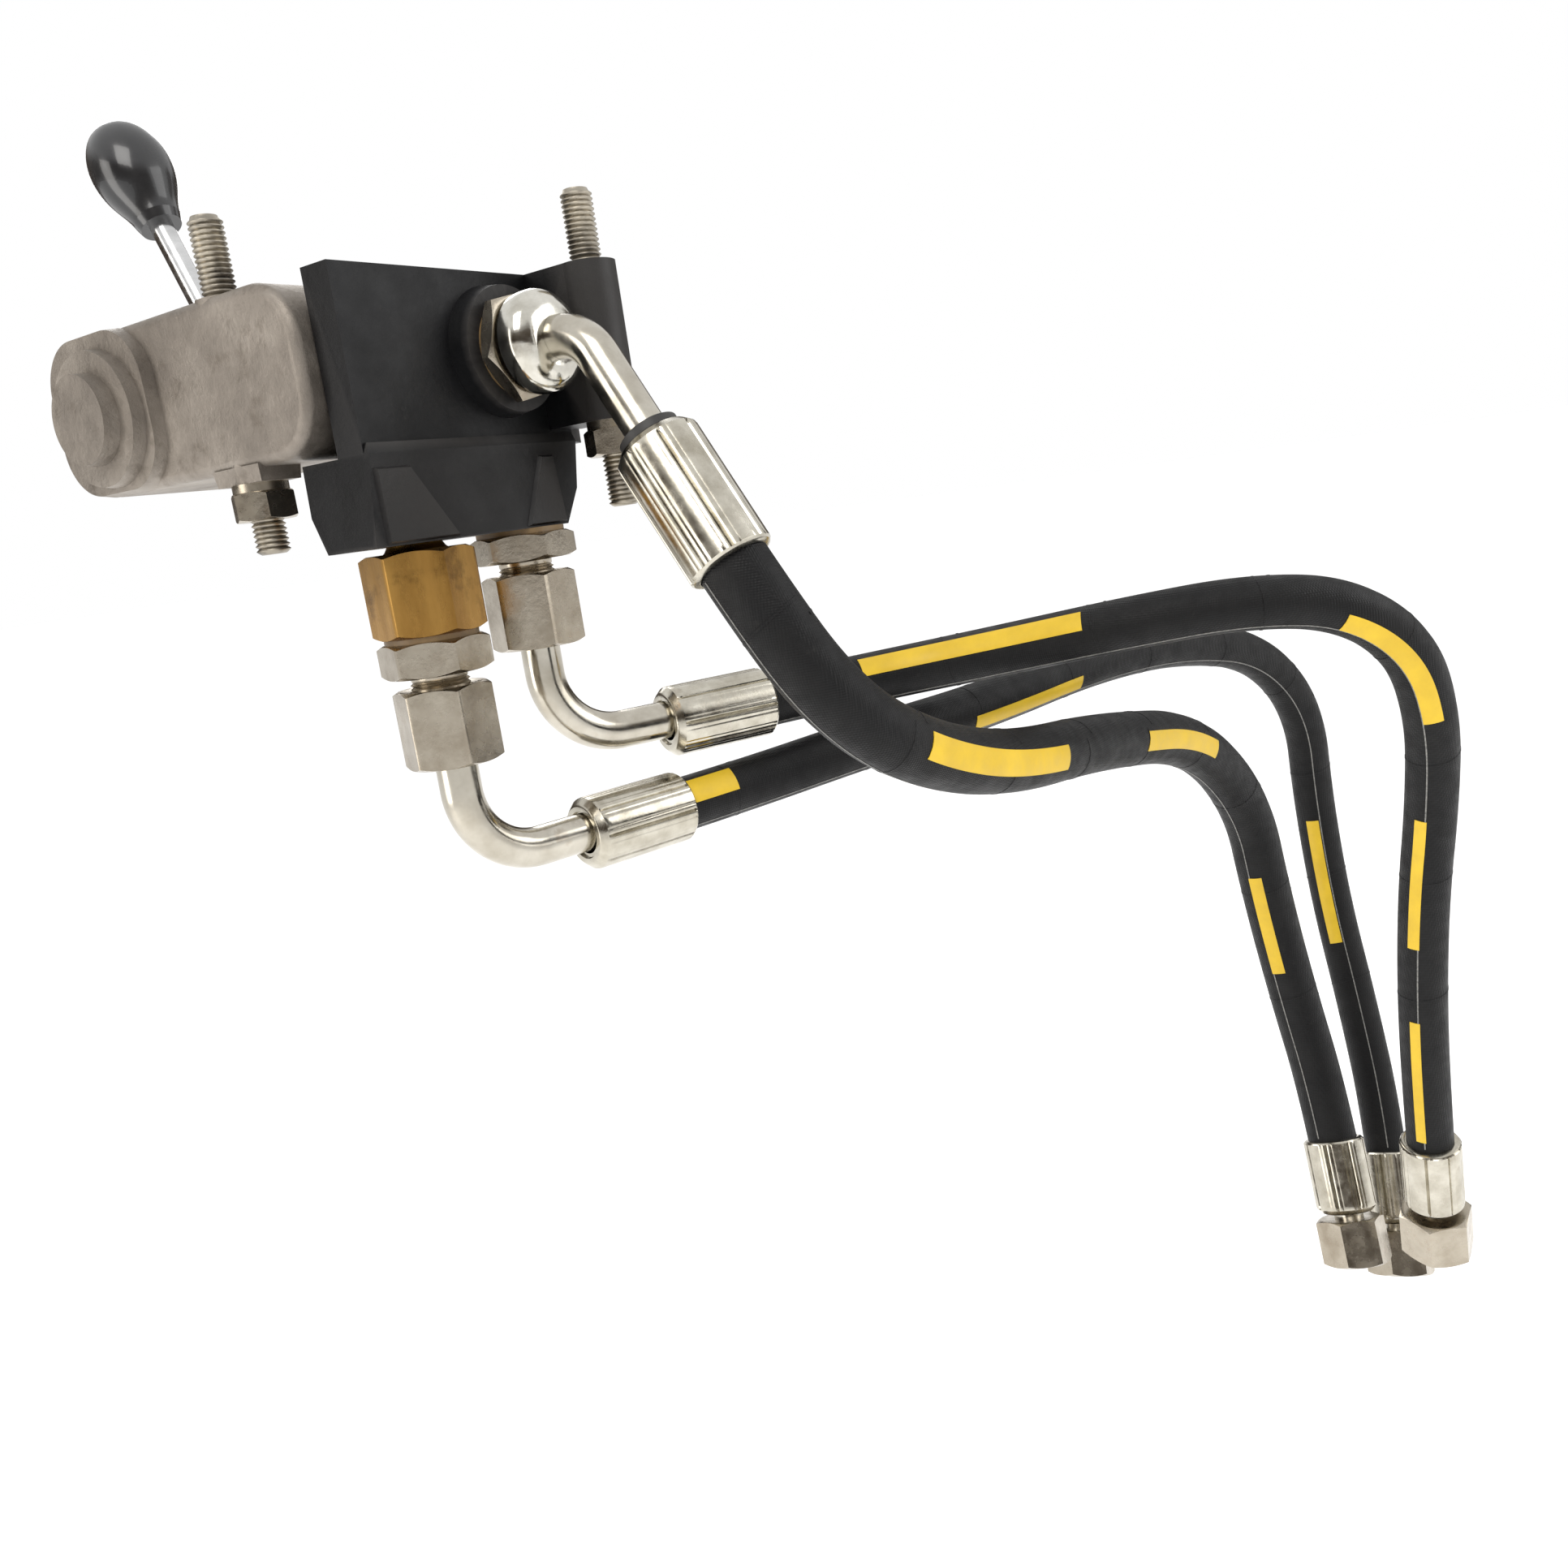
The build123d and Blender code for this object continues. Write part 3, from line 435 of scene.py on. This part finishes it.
def strip(name, tag, s0, s1, width, ang, mat, lift=0.18, step=0.0025, twist=0.0):
    """a thin printed bar that follows the hose surface; ang is its middle in degrees about the centreline"""
    n = max(3, int((s1 - s0) / step))
    r0, half = HOSE_R[tag] * MM, width / 2 / HOSE_R[tag]
    cols = max(4, int(width / 0.9))
    verts, faces = [], []
    for i in range(n + 1):
        s = s0 + (s1 - s0) * i / n
        p, t, u, w = at(tag, s)
        th = math.radians(ang + twist * (s - s0) / max(s1 - s0, 1e-9))
        for lay in (lift, -0.35):
            for j in range(cols + 1):
                a = th - half + 2 * half * j / cols
                rr = r0 + lay * MM
                verts.append(p + (u * math.cos(a) + w * math.sin(a)) * rr)
    m = 2 * (cols + 1)
    for i in range(n):
        for j in range(cols):
            a = i * m + j
            faces.append((a, a + 1, a + m + 1, a + m))
            b = a + cols + 1
            faces.append((b, b + m, b + m + 1, b + 1))
        a = i * m
        faces.append((a, a + m, a + m + cols + 1, a + cols + 1))
        a = i * m + cols
        faces.append((a, a + cols + 1, a + m + cols + 1, a + m))
    for a in (0, n * m):
        for j in range(cols):
            faces.append((a + j, a + j + 1, a + j + cols + 2, a + j + cols + 1))
    o = add_mesh(name, verts, faces, mat, ROOT, 50.0)
    return o


def facing(tag, s, off=0.0):
    p, t, u, w = at(tag, s)
    d = (CAM * MM - p)
    d = d - t * d.dot(t)
    return math.degrees(math.atan2(d.dot(w), d.dot(u))) + off


EXTRAS = {k: [] for k in ROUTES}
BARS = {
    "front": [(0.0245, 0.0440, 9.0, -22.0), (0.150, 0.215, 6.0, 40.0), (0.455, 0.52, 6.0, 15.0)],
    "rear": [(0.062, 0.150, 7.5, -28.0), (0.238, 0.300, 7.0, 30.0), (0.345, 0.405, 4.5, 20.0), (0.440, 0.500, 4.0, 20.0)],
    "side": [(0.105, 0.190, 9.0, -15.0), (0.262, 0.330, 8.0, 10.0), (0.42, 0.47, 6.0, 20.0)],
}
for tag, bars in BARS.items():
    for i, (s0, s1, wd, off) in enumerate(bars):
        s1 = min(s1, FR[tag][-1][0] - 0.026)
        EXTRAS[tag].append(strip(f"{tag}_hose_bar_{i + 1}", tag, s0, s1, wd, facing(tag, s0, off), M["bar"],
                                 twist=0.0))
    L = FR[tag][-1][0]
    base = facing(tag, 0.06, 62.0)
    EXTRAS[tag].append(strip(f"{tag}_hose_mould_line", tag, 0.0245, L - 0.026, 0.5, base, M["line"], lift=0.10))
    # cloth-wrap seams round the hose
    for i in range(int((L - 0.07) / 0.055)):
        s = 0.045 + 0.055 * i
        verts, faces = [], []
        n = 48
        for k in range(n):
            a = 2 * math.pi * k / n
            for ds, lift in ((-0.0006, -0.2), (-0.0004, 0.10), (0.0004, 0.10), (0.0006, -0.2)):
                p, t, u, w = at(tag, s + 0.006 * (k / n - 0.5) + ds)
                verts.append(p + (u * math.cos(a) + w * math.sin(a)) * (HOSE_R[tag] + lift) * MM)
        for k in range(n - 1):
            for q in range(3):
                faces.append((k * 4 + q, k * 4 + q + 1, (k + 1) * 4 + q + 1, (k + 1) * 4 + q))
        EXTRAS[tag].append(add_mesh(f"{tag}_hose_wrap_seam_{i + 1}", verts, faces, M["rubber"]))


# ------------------------------------------------------------------ crimped ferrules
def crimp(ro, ln):
    def mod(z, r, t, p):
        if r < ro - 0.9 or z < 3.2 or z > ln - 1.2:
            return r
        k = (math.degrees(t) % 45.0) / 45.0
        e = min(k, 1 - k) * 45.0
        g = -0.95 * math.exp(-(e / 1.9) ** 2)
        # a fine second line inside each die mark
        f = abs(e - 11.0)
        g -= 0.16 * math.exp(-(f / 1.6) ** 2)
        return r + g + 0.10 * math.cos(math.radians((k - 0.5) * 180.0))
    return mod


def ferrule(name, node, p, d, ro, rh, ln, hosedepth=24.0):
    prof = [(ln, rh + 0.02), (ln, ro - 1.6), (ln - 0.5, ro - 0.55), (ln - 1.1, ro - 0.15)]
    z = ln - 1.3
    while z > 3.6:
        prof.append((z, ro))
        z -= 2.0
    prof += [(3.3, ro), (2.4, ro - 0.1), (0.6, ro - 1.7), (0.15, ro - 2.2), (0.0, ro - 2.6), (0.0, ro - 4.2), (0.9, ro - 4.6), (0.9, 6.52),
             (ln - hosedepth, 6.52), (ln - hosedepth, rh + 0.02)]
    o = turned(name, p, d, prof, M["ferrule"], n=240, mod=crimp(ro, ln), sharp=28.0)
    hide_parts(node)
    return o


for tag in ROUTES:
    ferrule(tag + "_crimped_ferrule", tag + "_ferrule", FER_P[tag], FER_D[tag], FER_R[tag], HOSE_R[tag], FER_L[tag])
    e, u = END[tag]
    far = ferrule(tag + "_far_crimped_ferrule", tag + "_far_ferrule", e + u * 10, -u, FER_R[tag], HOSE_R[tag], 34.0)
    nut = turned(tag + "_far_hex_nut", e, u,
                 hexpiece(13.0, 33.8, 27.0, 6.55, 8.65)[:-1] + [(33.8, 8.65)] + [(24.2 + 9.6 - (9.6 * i / 16), 8.65 + (0.45 if i % 2 else 0)) for i in range(1, 17)] + [(19.8, 8.65), (19.8, 6.55)],
                 M["zinc"], tag + "_far_nut", n=120, ref=None)
    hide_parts(tag + "_far_nut")

# ------------------------------------------------------------------ front and rear stacks
for tag, x, zh, hh, mat in (("front", -22.5, -106.6, 10.4, "zinc"), ("rear", 22.5, -79.6, 8.4, "zinc")):
    y = -5.0
    r = 15.0
    zn = zh - hh
    prof = hexpiece(zn, zh, 30.0, 4.5)
    # neck and cone below the hexagon, thread above it
    low = [(zn - 16, 4.5), (zn - 16, 8.2), (zn - 15.2, 9.0)] + [(z, rr) for z, rr in reversed([(zn - 4.0 + 0.0, 8.98)])] \
        + [(zn - 3.8, 8.98), (zn - 3.2, 8.2), (zn - 2.6, 8.98), (zn - 2.0, 8.2), (zn - 1.4, 8.6), (zn - 0.3, 8.6), (zn, 9.0), (zn, 14.07), (zn, 14.775)]
    full = low + prof[3:7] + [(zh, 8.3), (zh + (9.0 if tag == "front" else 12.0), 8.3), (zh + (9.0 if tag == "front" else 12.0), 4.5)]
    o = turned(tag + "_adapter_hex", (x, y, 0), (0, 0, 1), full, M[mat], n=120, rot=8.0 + 0.0)
    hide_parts(tag + "_adapter")
    z1 = zn - 4.0
    z0 = z1 - 24.0
    nutp = hexpiece(z0, z1, 27.0, 6.55, 9.05)[:-1] + [(z1 - 0.6, 9.6), (z1 - 1.2, 9.05), (z1 - 17, 9.05), (z1 - 17, 6.55)]
    o = turned(tag + "_nut_hex", (x, y, 0), (0, 0, 1), nutp, M["zinc"], tag + "_swivel_nut", n=120, rot=4.0)
    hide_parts(tag + "_swivel_nut")

o = turned("restrictor_hex", (-22.5, -5, 0), (0, 0, 1),
           [(-105, 8.3)] + hexpiece(-105, -80, 30.0, 8.3)[1:7] + [(-80, 9.6), (-79.4, 9.0), (-78.2, 8.3), (-66, 8.3), (-66, 3.5), (-83, 3.5), (-83, 8.3)],
           M["yellow"], n=120, rot=14.0)
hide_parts("restrictor_body")

# side fitting
y0 = -23.5
prof = hexpiece(0, 5, 30.0, 4.5)
o = turned("side_adapter_hex", (16, y0, -24), (0, -1, 0),
           [(-12, 4.5), (-12, 8.3), (0, 8.3)] + prof[1:7] + [(5, 9.0), (10.4, 9.0), (11, 8.4), (11, 4.5)], M["zinc"], n=120, rot=12.0)
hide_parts("side_adapter")
o = turned("side_union_nut", (16, y0, -24), (0, -1, 0),
           [(6, 9.05), (6, 13.2), (6.3, 14.4), (7.0, 15.1), (8.4, 15.2), (11.5, 15.2), (13.2, 14.7), (14.8, 13.6), (16.0, 12.0), (16.8, 10.2), (17.25, 8.4), (17.3, 6.55), (14.5, 6.55), (14.5, 9.05)],
           M["bright"], "side_swivel_nut", n=96)
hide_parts("side_swivel_nut")
# a dark ring set just in front of the side ferrule's face: painted shade where that face lies in shadow, not a real
# part
o = turned("side_painted_shade_ring", tuple(Vector((16, -50.3, -24)) + SD * 36.5), SD, [(0, 6.5), (0, 8.6), (0.6, 9.6), (2.9, 9.6), (3.5, 8.6), (3.5, 6.5)], M["sleeve"], n=72)

# studs, nuts and washers
for i, (sx, sy, zn, zw) in enumerate(((-42.5, 34, -56.5, -54.0), (42.5, -34, -50.5, -48.0))):
    prof = [(-75, 0.4), (-75, 3.6)] + thread(-74.6, -40, 5.0) + [(-39.9, 5.0), (-4, 5.0)] + thread(-3.0, 21.2, 5.0) + [(22, 3.8), (22, 0.4)]
    o = turned(f"stud_{i + 1}", (sx, sy, 0), (0, 0, 1), prof, M["stud"], n=48, sharp=60.0)
    zz = zn - 8.4
    o2 = turned(f"stud_nut_{i + 1}", (sx, sy, 0), (0, 0, 1), hexpiece(zz, zn, 17.0, 5.0), M["zinc"], n=96, rot=0.0)
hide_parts("mounting_studs")
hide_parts("stud_nuts")
for sl in NODES["spring_washers"].material_slots:
    sl.material = M["zinc"]

# softened casting edges on the two castings
for n, wd, seg in (("valve_body", 0.9, 3), ("lever_housing", 0.8, 3)):
    b = NODES[n].modifiers.new("cast_radius", "BEVEL")
    b.width = wd * MM
    b.segments = seg
    b.limit_method = "ANGLE"
    b.angle_limit = math.radians(28)
    b.harden_normals = False

# ------------------------------------------------------------------ stage
me = bpy.data.meshes.new("floor")
me.from_pydata([(-40, -40, -0.62), (60, -40, -0.62), (60, 60, -0.62), (-40, 60, -0.62)], [], [(0, 1, 2, 3)])
floor = bpy.data.objects.new("floor", me)
bpy.context.scene.collection.objects.link(floor)
fm, nt, bs, co = new_mat("floor_pale")
c = ramp(nt, noise(nt, co, 3.0, 3.0), [(0.3, (0.93, 0.93, 0.93)), (0.7, (0.96, 0.96, 0.96))])
nt.links.new(c, bs.inputs["Base Color"])
bs.inputs["Roughness"].default_value = 0.8
bs.inputs["Emission Color"].default_value = (1, 1, 1, 1)
bs.inputs["Emission Strength"].default_value = 0.26
me.materials.append(fm)
floor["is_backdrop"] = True

w = bpy.data.worlds.new("studio")
bpy.context.scene.world = w
w.use_nodes = True
nt = w.node_tree
bg = nt.nodes["Background"]
bg.inputs[0].default_value = (1.0, 1.0, 1.0, 1)
bg.inputs[1].default_value = 1.0
# reflections see a pale ceiling, a dim band near the horizon and soft bright gaps in it
tc = nt.nodes.new("ShaderNodeTexCoord")
sep = nt.nodes.new("ShaderNodeSeparateXYZ")
nt.links.new(tc.outputs["Generated"], sep.inputs[0])
band = ramp(nt, maprange(nt, sep.outputs[2], -1.0, 1.0, 0.0, 1.0),
            [(0.48, (0.30, 0.28, 0.26)), (0.53, (0.055, 0.042, 0.032)), (0.66, (0.11, 0.09, 0.072)), (0.76, (0.92, 0.92, 0.92)), (1.0, (1.0, 1.0, 1.0))])
gap = ramp(nt, noise(nt, tc.outputs["Generated"], 1.9, 2.0, 0.5, (1.0, 1.0, 0.35)), [(0.58, (0, 0, 0)), (0.63, (1, 1, 1))])
bg2 = nt.nodes.new("ShaderNodeBackground")
nt.links.new(mixc(nt, gap, band, (0.95, 0.95, 0.95)), bg2.inputs[0])
bg2.inputs[1].default_value = 1.05
lp = nt.nodes.new("ShaderNodeLightPath")
mx = nt.nodes.new("ShaderNodeMixShader")
nt.links.new(lp.outputs["Is Camera Ray"], mx.inputs[0])
nt.links.new(bg2.outputs[0], mx.inputs[1])
nt.links.new(bg.outputs[0], mx.inputs[2])
nt.links.new(mx.outputs[0], nt.nodes["World Output"].inputs[0])
bpy.context.scene.view_settings.view_transform = "Standard"
bpy.context.scene.view_settings.look = "None"


def area(name, loc, target, size, power, color=(1, 1, 1), sy=None):
    l = bpy.data.lights.new(name, "AREA")
    l.shape = "RECTANGLE"
    l.size, l.size_y = size, sy or size
    l.energy = power
    l.color = color
    o = bpy.data.objects.new(name, l)
    o.location = loc
    o.rotation_euler = (Vector(target) - Vector(loc)).to_track_quat("-Z", "Y").to_euler()
    bpy.context.scene.collection.objects.link(o)


area("key", (-0.9, -0.5, 0.9), (0, 0, -0.1), 0.8, 9, (1, 0.98, 0.95))
area("left", (-1.0, 0.5, 0.0), (0, 0, -0.1), 0.5, 5, (1.0, 0.97, 0.93), 1.0)
area("right", (0.7, -1.2, 0.3), (0.1, -0.1, -0.2), 0.9, 6.5)
area("rim", (0.8, 1.0, 0.6), (0.1, -0.1, -0.2), 0.7, 5)

# ------------------------------------------------------------------ camera
cd = bpy.data.cameras.new("camera")
cam = bpy.data.objects.new("camera", cd)
bpy.context.scene.collection.objects.link(cam)
cd.sensor_fit = "HORIZONTAL"
cd.sensor_width = 36.0
cd.lens = 1700.0 / 1932.0 * 36.0
cd.clip_start = 0.01
look = Vector((0.8035, 0.5618, -0.1969)).normalized()
down = Vector((-0.2413, 0.0049, -0.9704))
down = (down - look * down.dot(look)).normalized()
right = down.cross(look)
R = Matrix((right, -down, -look)).transposed()
cam.matrix_world = Matrix.Translation(CAM * MM) @ R.to_4x4()
bpy.context.scene.camera = cam

a, b = CAD_BOX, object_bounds()
